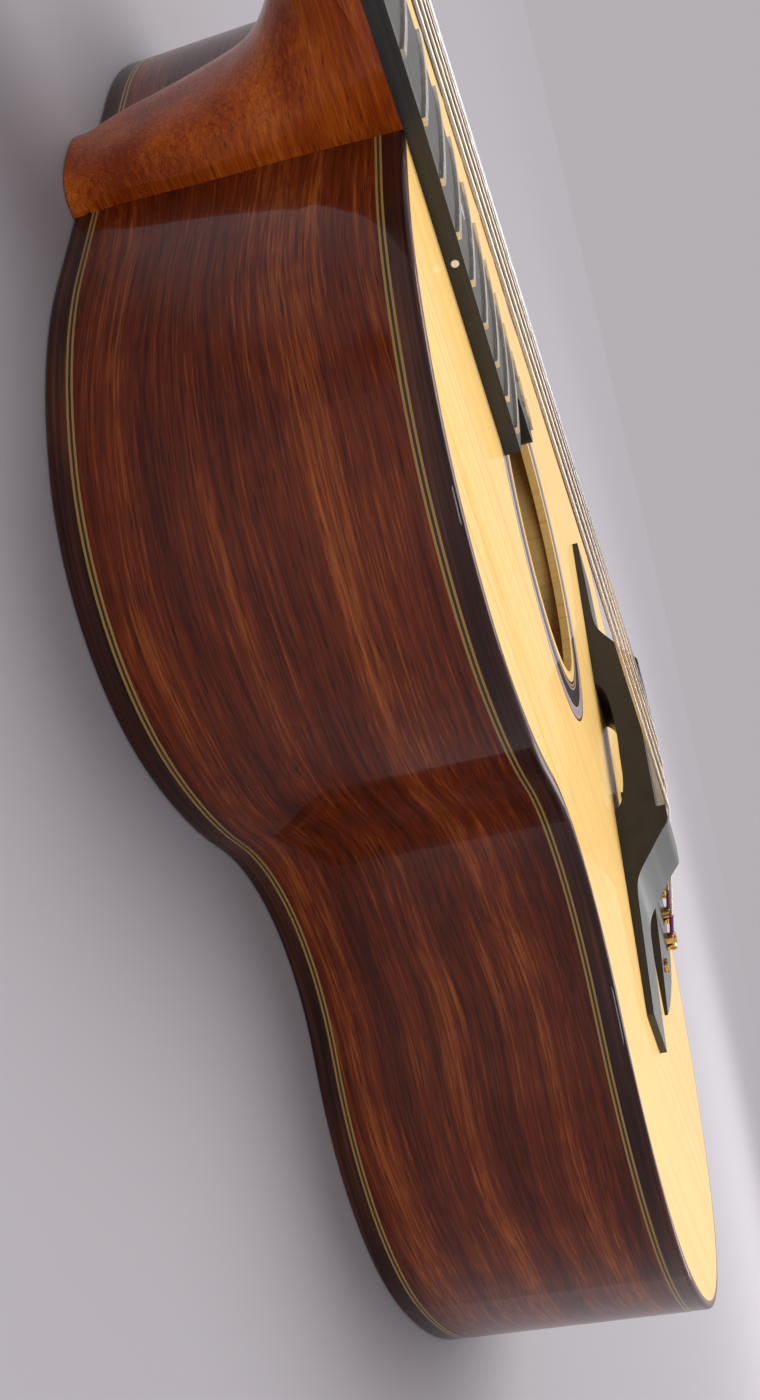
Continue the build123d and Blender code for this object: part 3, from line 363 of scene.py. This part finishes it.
def banded(look, value, edges, colours):
    """Bands of colour, which change at each edge."""
    result = full(colours[0])
    for edge, colour in zip(edges, colours[1:]):
        past = look.math("GREATER_THAN", value, edge)
        result = look.mix(past, result, colour)
    return result


def rosette_look(name):
    """Rings by their distance from the soundhole's centre, with a mosaic in one of them."""
    low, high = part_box("rosette")
    centre = (low + high) / 2
    look = Look(name)
    from_x = look.math("SUBTRACT", look.x, centre.x)
    from_y = look.math("SUBTRACT", look.y, centre.y)
    squares = look.math("ADD", look.math("MULTIPLY", from_x, from_x), look.math("MULTIPLY", from_y, from_y))
    radius = look.math("SQRT", squares)
    turn = look.math("ARCTAN2", from_y, from_x)
    chip_place = look.point(look.math("MULTIPLY", radius, 900), look.math("MULTIPLY", turn, 42), 0.0)
    chips = look.add("TexVoronoi", chip_place)
    chip_tone = look.ramp(chips.outputs["Color"], (0.2, (0.30, 0.27, 0.33)), (0.5, (0.55, 0.48, 0.52)),
                          (0.8, (0.46, 0.24, 0.27)))
    edges = [0.0534, 0.0538, 0.0548, 0.0552, 0.0612, chip_inner, chip_outer, 0.0650, 0.0655]
    black, pale = black_veneer, (0.72, 0.60, 0.44)
    colours = [black, pale, red_veneer, pale, black, pale, black, pale, red_veneer, black]
    colour = banded(look, radius, edges, colours)
    past_inner = look.math("GREATER_THAN", radius, chip_inner)
    before_outer = look.math("LESS_THAN", radius, chip_outer)
    colour = look.mix(look.math("MULTIPLY", past_inner, before_outer), colour, chip_tone)
    return lacquered(look, colour, look.bump(chips.outputs["Distance"], 0.00001))


def purfling_look(name, outer_z):
    """Yellow, black, yellow across the line on the side. The narrow line beside the
    soundboard, which reaches the outer face, is red."""
    look = Look(name)
    from_binding = look.math("ABSOLUTE", look.math("SUBTRACT", look.z, outer_z))
    depth = look.math("SUBTRACT", from_binding, binding_tall)
    grain = look.noise(look.stretched((40, 40, 40)), detail=2)
    edges = [line_tall * 0.33, line_tall * 0.67]
    colour = banded(look, depth, edges, [yellow_veneer, black_veneer, yellow_veneer])
    on_face = look.math("LESS_THAN", depth, -0.0002)
    colour = look.mix(on_face, colour, red_veneer)
    colour = look.mix(look.math("MULTIPLY", grain, 0.35), colour, (0.20, 0.10, 0.03))
    return lacquered(look, colour, look.bump(grain, 0.00001))


def dress(material, *names):
    for name in names:
        for slot in nodes[name].material_slots:
            slot.material = material


def dress_guitar():
    round_body, upward = (1, 1, 0), (0, 0, 1)
    lengthwise, crosswise = (0, 1, 0), (1, 0, 1)
    side = mahogany("side_mahogany", red_mahogany, round_body, upward)
    dress(side, "side_bass", "side_treble")
    flat = mahogany("back_mahogany", red_mahogany, lengthwise, crosswise)
    dress(flat, "back_plate", "neck_block", "end_block")
    neck = mahogany("neck_mahogany", orange_mahogany, lengthwise, crosswise)
    dress(neck, "neck", "heel_cap")
    dress(spruce("top_spruce"), "soundboard")
    dress(spruce("brace_spruce", 0.85, glossy=False), "x_brace_bass", "x_brace_treble", "top_braces",
          "back_braces", "back_strip", "top_linings", "back_linings")
    trim = rosewood("rosewood")
    dress(trim, "top_binding", "back_binding", "end_graft", "headplate", "bridge_plate")
    dress(ebony("fingerboard_ebony", 0.36, 0.03), "fingerboard")
    dress(ebony("bridge_ebony", 0.40, 0.022), "bridge", "tail_plate", "end_pin")
    dress(rosette_look("rosette_rings"), "rosette")
    back_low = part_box("back_plate")[0].z
    top_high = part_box("soundboard")[1].z
    dress(purfling_look("top_line", top_high), "top_purfling")
    dress(purfling_look("back_line", back_low), "back_purfling")
    dress(metal("brass", (0.86, 0.62, 0.24), (0.62, 0.40, 0.14), 0.10, 0.26), "tail_pins",
          "tail_screws", "ball_ends", "truss_rod_nut")
    dress(metal("nickel_silver", (0.80, 0.77, 0.68), (0.62, 0.58, 0.48), 0.14, 0.30,
                (60, 2500, 2500), 0.000004), "frets")
    dress(metal("rod_steel", (0.42, 0.42, 0.43), (0.25, 0.24, 0.23), 0.3, 0.5), "truss_rod")
    chrome = metal("chrome", (0.82, 0.82, 0.84), (0.74, 0.74, 0.76), 0.04, 0.12)
    moving = [name for name in nodes if name.startswith(("tuner_post", "tuner_key"))]
    dress(chrome, "tuner_housings", "tuner_bushings", "tuner_washers", "tuner_screws", *moving)
    # The winding's second colour is painted shade for the grooves between its turns.
    dress(wound("bronze_winding", (0.93, 0.85, 0.72), (0.42, 0.32, 0.22), 0.0004, 1.0, 0.26), *wound_strings)
    dress(metal("string_steel", (0.86, 0.86, 0.86), (0.72, 0.72, 0.73), 0.10, 0.22,
                (3000, 30, 3000), 0.000002), *plain_strings)
    # The silk's second colour is painted shade for the grooves between its turns.
    dress(wound("purple_silk", (0.34, 0.05, 0.34), (0.08, 0.01, 0.09), 0.0005, 0.0, 0.6), "string_silks")
    dress(bone("bone"), "nut", "saddle")
    dress(pearl("pearl"), "side_dots", "position_dots")


# ---- string windings ----------------------------------------------------------------
hole_above_string = 0.003
most_turns = 5
points_per_turn = 24
tip_reach = 0.0016
spare_wire = 0.0015


def string_tip(name):
    """Centre and radius of a string's end beside its post."""
    places = [vertex.co for vertex in nodes[name].data.vertices]
    furthest = max(places, key=lambda place: place.y)
    rim = [place for place in places if (place - furthest).length < tip_reach]
    centre = sum(rim, Vector()) / len(rim)
    return centre, max((place - centre).length for place in rim)


def winding_path(tip, thick, post, axis):
    """Turns that climb the post from the string's end to the post's hole."""
    out = tip - post
    height = out.dot(axis)
    out -= axis * height
    reach = out.length
    side = 1 if out.x > 0 else -1
    first = Vector((side, 0, 0))
    ahead = Vector((0, 1, 0))
    ahead = (ahead - axis * ahead.dot(axis)).normalized()
    turns = min(most_turns, int(hole_above_string / (2.1 * thick)))
    steps = turns * points_per_turn + points_per_turn // 2
    path = []
    for step in range(steps + 1):
        angle = 2 * pi * step / points_per_turn
        rise = height + hole_above_string * step / steps
        path.append(post + axis * rise + (first * cos(angle) + ahead * sin(angle)) * reach)
    top = post + axis * (height + hole_above_string)
    path.append(top - first * reach * 0.5)
    path.append(top + first * (reach + spare_wire))
    return path


def tube(name, path, radius, material):
    curve = bpy.data.curves.new(name, "CURVE")
    curve.dimensions = "3D"
    curve.bevel_depth = radius
    curve.bevel_resolution = 4
    curve.use_fill_caps = True
    spline = curve.splines.new("NURBS")
    spline.points.add(len(path) - 1)
    for point, place in zip(spline.points, path):
        point.co = (*place, 1)
    spline.order_u = 3
    spline.use_endpoint_u = True
    drawn = bpy.data.objects.new(name + "_line", curve)
    bpy.context.scene.collection.objects.link(drawn)
    bpy.context.view_layer.update()
    mesh = bpy.data.meshes.new_from_object(drawn.evaluated_get(bpy.context.evaluated_depsgraph_get()))
    bpy.data.objects.remove(drawn)
    mesh.name = name
    mesh.materials.clear()
    mesh.materials.append(material)
    piece = bpy.data.objects.new(name, mesh)
    bpy.context.scene.collection.objects.link(piece)
    return piece


def add_windings():
    for number, name in enumerate(string_names, 1):
        joint = joints[f"post_{number}_turn"]
        tip, thick = string_tip(name)
        path = winding_path(tip, thick, Vector(joint["pos_m"]), Vector(joint["axis"]).normalized())
        material = nodes[name].material_slots[0].material
        piece = tube(f"string_winding_{number}", path, thick, material)
        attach(piece, f"post_{number}")


add_camera()
add_studio()
dress_guitar()
add_windings()
